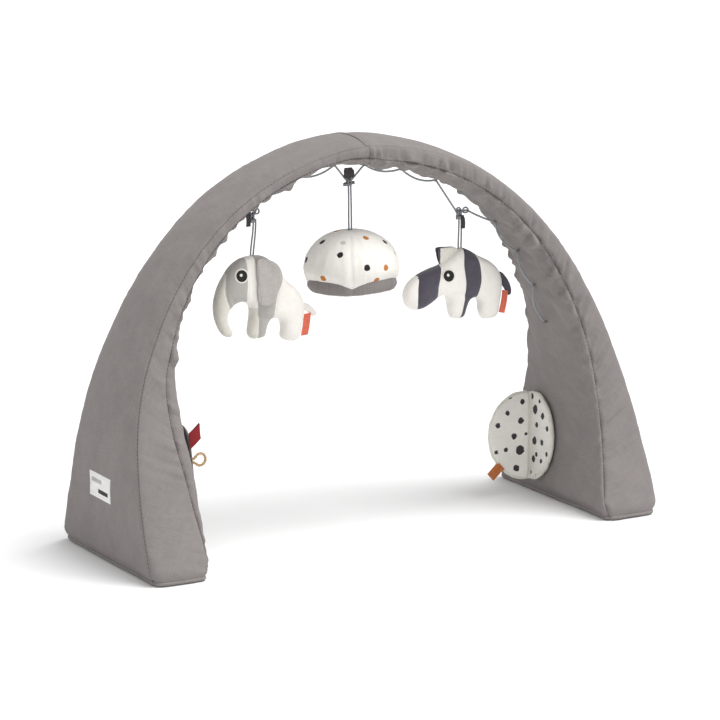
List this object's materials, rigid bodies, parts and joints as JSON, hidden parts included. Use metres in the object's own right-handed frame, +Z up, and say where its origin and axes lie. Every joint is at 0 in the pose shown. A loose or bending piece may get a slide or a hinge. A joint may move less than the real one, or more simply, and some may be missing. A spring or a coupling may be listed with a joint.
{
  "type": "baby activity play gym",
  "caption": "Free-standing padded fabric play arch on two broad feet, with laced cord, hanging soft toys, a peek-a-boo mirror pad and a tag patch.",
  "frame": {"origin": "on the floor, midway between the two feet", "axes": "+X along the arch's span to the right foot, +Y from front to back, +Z up"},
  "size_m": [0.8021, 0.343, 0.5775],
  "materials": {
    "cover": "taupe-grey woven cotton, matt",
    "foam": "open-cell foam filling",
    "rubber": "matt black",
    "label": "white woven ribbon",
    "cord": "grey braided elastic",
    "tab": "dark folded ribbon",
    "grey": "soft grey jersey",
    "cream": "off-white plush",
    "charcoal": "charcoal cotton",
    "coral": "coral woven ribbon",
    "red": "dark red woven ribbon",
    "beige": "beige twisted cord",
    "leather": "tan, smooth",
    "plastic": "moulded sound capsule",
    "mirror": "soft plastic mirror foil"
  },
  "bodies": {
    "arch": {"left_foam_core": "foam", "left_outer_panel": "cover", "left_inner_panel": "cover", "left_front_panel": "cover", "left_back_panel": "cover", "left_base_panel": "cover", "left_front_anti_slip_pad": "rubber", "left_back_anti_slip_pad": "rubber", "right_foam_core": "foam", "right_outer_panel": "cover", "right_inner_panel": "cover", "right_front_panel": "cover", "right_back_panel": "cover", "right_base_panel": "cover", "right_front_anti_slip_pad": "rubber", "right_back_anti_slip_pad": "rubber", "crown_seam_binding": "cover", "woven_label": "label", "attachment_cord": "cord", "peek_pad_backing": "cream", "peek_mirror": "mirror", "taggy_patch": "cover", "folded_ribbon_tag": "red", "cord_loop": "beige"},
    "elephant_hitch": {"elephant_toggle": "tab"},
    "elephant_hanger": {"elephant_cord": "cord"},
    "elephant_end": {"elephant_cord_knot": "cord"},
    "elephant": {"elephant_trunk": "cream", "elephant_head": "grey", "elephant_neck_stripe": "cream", "elephant_shoulder": "grey", "elephant_rump": "cream", "elephant_near_ear": "grey", "elephant_far_ear": "grey", "elephant_tail": "cream", "elephant_ribbon_tag": "coral", "elephant_rattle": "plastic"},
    "dome_hitch": {"dome_toggle": "tab"},
    "dome_hanger": {"dome_cord": "cord"},
    "dome_end": {"dome_cord_knot": "cord"},
    "dome": {"dome_gored_top": "cream", "dome_rim_band": "cover", "dome_underside": "cream", "dome_bell_capsule": "plastic"},
    "tapir_hitch": {"tapir_toggle": "tab"},
    "tapir_hanger": {"tapir_cord": "cord"},
    "tapir_end": {"tapir_cord_knot": "cord"},
    "tapir": {"tapir_snout": "cream", "tapir_mask": "charcoal", "tapir_head": "cream", "tapir_saddle": "charcoal", "tapir_rump": "cream", "tapir_near_ear": "grey", "tapir_far_ear": "grey", "tapir_tail": "charcoal", "tapir_ribbon_tag": "coral", "tapir_squeaker": "plastic"},
    "peek_flap": {"peek_flap": "cream", "peek_pull_tab": "leather"}
  },
  "joints": [
    {"name": "elephant_swing_fore_aft", "type": "hinge", "parent": "arch", "child": "elephant_hitch", "pos_m": [-0.156, 0, 0.474], "axis": [1, 0, 0], "range_deg": [-60, 60]},
    {"name": "elephant_swing_sideways", "type": "hinge", "parent": "elephant_hitch", "child": "elephant_hanger", "pos_m": [-0.156, 0, 0.474], "axis": [0, 1, 0], "range_deg": [-3, 18]},
    {"name": "elephant_pull", "type": "slide", "parent": "elephant_hanger", "child": "elephant_end", "axis": [0, 0, -1], "range_m": [0, 0.03], "stiffness_N_per_m": 100, "springref_m": -0.008, "deforming": ["elephant_cord"]},
    {"name": "elephant_twist", "type": "hinge", "parent": "elephant_end", "child": "elephant", "pos_m": [-0.156, 0, 0.417], "axis": [0, 0, 1], "range_deg": [-90, 90]},
    {"name": "dome_swing_fore_aft", "type": "hinge", "parent": "arch", "child": "dome_hitch", "pos_m": [-0.002, 0, 0.509], "axis": [1, 0, 0], "range_deg": [-60, 60]},
    {"name": "dome_swing_sideways", "type": "hinge", "parent": "dome_hitch", "child": "dome_hanger", "pos_m": [-0.002, 0, 0.509], "axis": [0, 1, 0], "range_deg": [-4, 4]},
    {"name": "dome_pull", "type": "slide", "parent": "dome_hanger", "child": "dome_end", "axis": [0, 0, -1], "range_m": [0, 0.015], "stiffness_N_per_m": 100, "springref_m": -0.015, "deforming": ["dome_cord"]},
    {"name": "dome_twist", "type": "hinge", "parent": "dome_end", "child": "dome", "pos_m": [-0.002, 0, 0.439], "axis": [0, 0, 1], "range_deg": [-90, 90]},
    {"name": "tapir_swing_fore_aft", "type": "hinge", "parent": "arch", "child": "tapir_hitch", "pos_m": [0.173, 0, 0.446], "axis": [1, 0, 0], "range_deg": [-60, 60]},
    {"name": "tapir_swing_sideways", "type": "hinge", "parent": "tapir_hitch", "child": "tapir_hanger", "pos_m": [0.173, 0, 0.446], "axis": [0, 1, 0], "range_deg": [-8, 6]},
    {"name": "tapir_pull", "type": "slide", "parent": "tapir_hanger", "child": "tapir_end", "axis": [0, 0, -1], "range_m": [0, 0.03], "stiffness_N_per_m": 100, "springref_m": -0.007, "deforming": ["tapir_cord"]},
    {"name": "tapir_twist", "type": "hinge", "parent": "tapir_end", "child": "tapir", "pos_m": [0.173, 0, 0.394], "axis": [0, 0, 1], "range_deg": [-90, 90]},
    {"name": "peek_flap_fold", "type": "hinge", "parent": "arch", "child": "peek_flap", "pos_m": [0.30506, 0.052, 0.08911], "axis": [0.1056, 0.1197, 0.9872], "range_deg": [-86, 86]}
  ]
}
